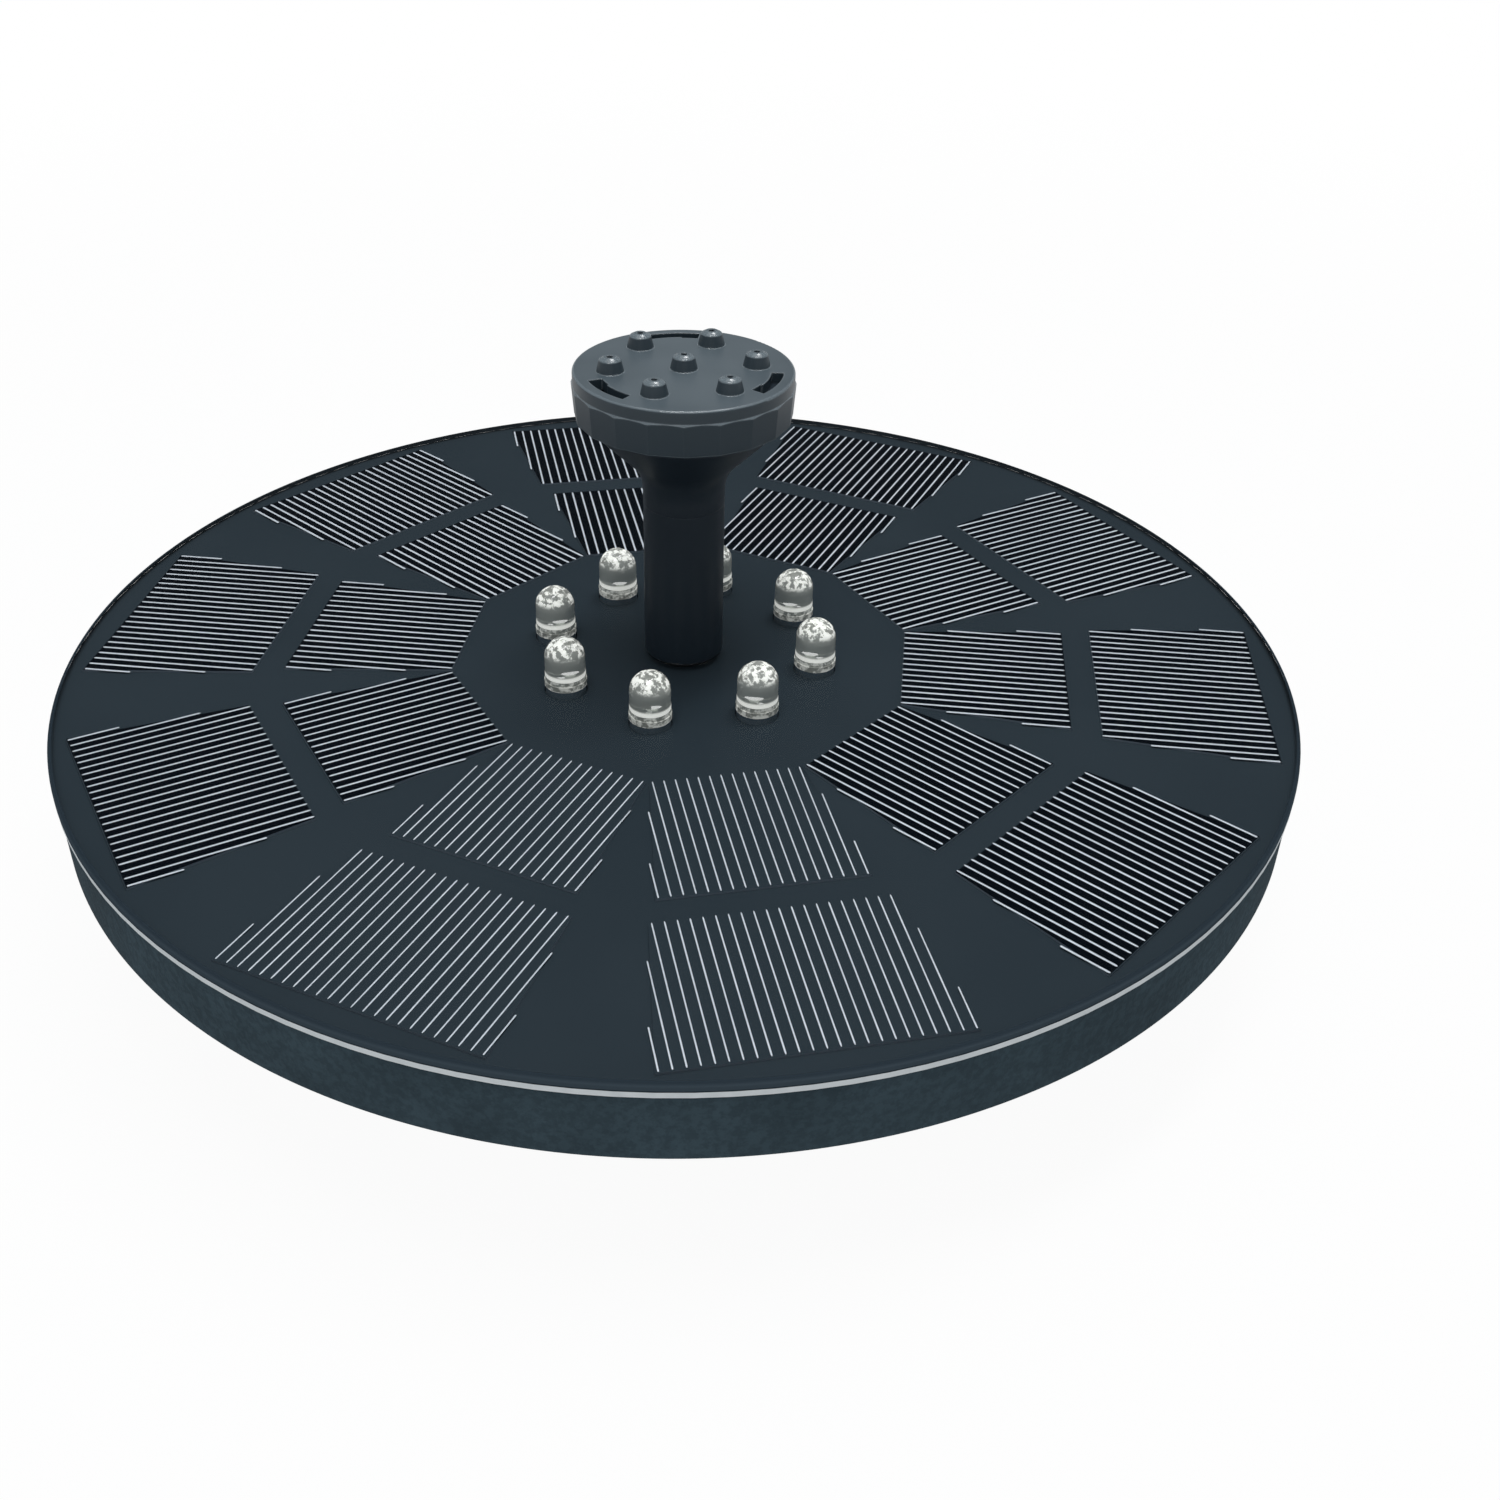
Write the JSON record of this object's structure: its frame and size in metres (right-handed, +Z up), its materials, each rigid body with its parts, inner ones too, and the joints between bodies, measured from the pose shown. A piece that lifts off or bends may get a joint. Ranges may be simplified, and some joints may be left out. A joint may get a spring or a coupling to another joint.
{
  "type": "floating fountain submersible pump",
  "caption": "Floating fountain pump: round solar panel on a foam ring, small submersible pump and battery box hung below, lit nozzle head on a riser above.",
  "frame": {"origin": "on the disc's axis, at the flat underside of the pump that the part stands on", "axes": "+Z up along the riser, +Y towards the pump's strainer and the battery box, +X to the right"},
  "size_m": [0.18, 0.18, 0.0797],
  "materials": {
    "laminate": "cut edge of a black-backed fibre board",
    "silicon": "near-black solar cell with fine silver lines",
    "clear_resin": "clear glossy potting resin, dark slate below",
    "foam": "matt dark closed-cell foam",
    "hub_black": "satin black moulding",
    "glue": "glossy dark hot glue",
    "circuit": "solder-masked circuit board",
    "white_circuit": "white solder mask",
    "lens": "clear polished dome",
    "lead_frame": "tinned lead frame",
    "riser_black": "smooth satin black tube",
    "seal": "soft black rubber",
    "nozzle_grey": "fine satin dark grey moulding",
    "pump_black": "fine satin black moulding",
    "box_black": "fine matt black moulding",
    "impeller_white": "natural white moulding",
    "magnet": "ground dark ferrite",
    "shaft": "polished white ceramic",
    "core": "stacked silicon-steel laminations",
    "winding": "enamelled copper winding",
    "potting": "cast epoxy",
    "lead_rubber": "smooth black round sheath",
    "battery": "plain shrink sleeve"
  },
  "bodies": {
    "float": {"panel_board": "laminate", "inner_cells": "silicon", "outer_cells": "silicon", "panel_resin": "clear_resin", "foam_ring": "foam", "hub": "hub_black", "hub_glue": "glue", "led_board": "white_circuit", "led_lenses": "lens", "led_frames": "lead_frame", "riser_oring": "seal", "pump_housing": "pump_black", "neck_oring": "seal", "impeller_cover": "pump_black", "shaft": "shaft", "front_bush": "seal", "rear_bush": "seal", "stator_core": "core", "coils": "winding", "driver_board": "circuit", "potting": "potting", "rear_cap": "pump_black", "pump_grommet": "lead_rubber", "lead": "lead_rubber", "box_grommet": "lead_rubber", "battery_box": "box_black", "box_glue": "glue", "battery_cell": "battery", "charge_board": "circuit"},
    "riser": {"riser_tube": "riser_black"},
    "nozzle": {"nozzle_funnel": "riser_black"},
    "cap": {"nozzle_cap": "nozzle_grey"},
    "strainer": {"strainer_cover": "pump_black"},
    "rotor": {"impeller": "impeller_white", "rotor_magnet": "magnet"}
  },
  "joints": [
    {"name": "riser_pull", "type": "slide", "parent": "float", "child": "riser", "axis": [0, 0, 1], "range_m": [0, 0.03]},
    {"name": "nozzle_turn", "type": "hinge", "parent": "riser", "child": "nozzle", "pos_m": [0, 0, 0.055], "axis": [0, 0, 1], "continuous": true},
    {"name": "cap_pull", "type": "slide", "parent": "nozzle", "child": "cap", "axis": [0, 0, 1], "range_m": [0, 0.015]},
    {"name": "strainer_pull", "type": "slide", "parent": "float", "child": "strainer", "axis": [0, 1, 0], "range_m": [0, 0.008]},
    {"name": "rotor_spin", "type": "hinge", "parent": "float", "child": "rotor", "pos_m": [0, 0, 0.00975], "axis": [0, 1, 0], "continuous": true}
  ]
}
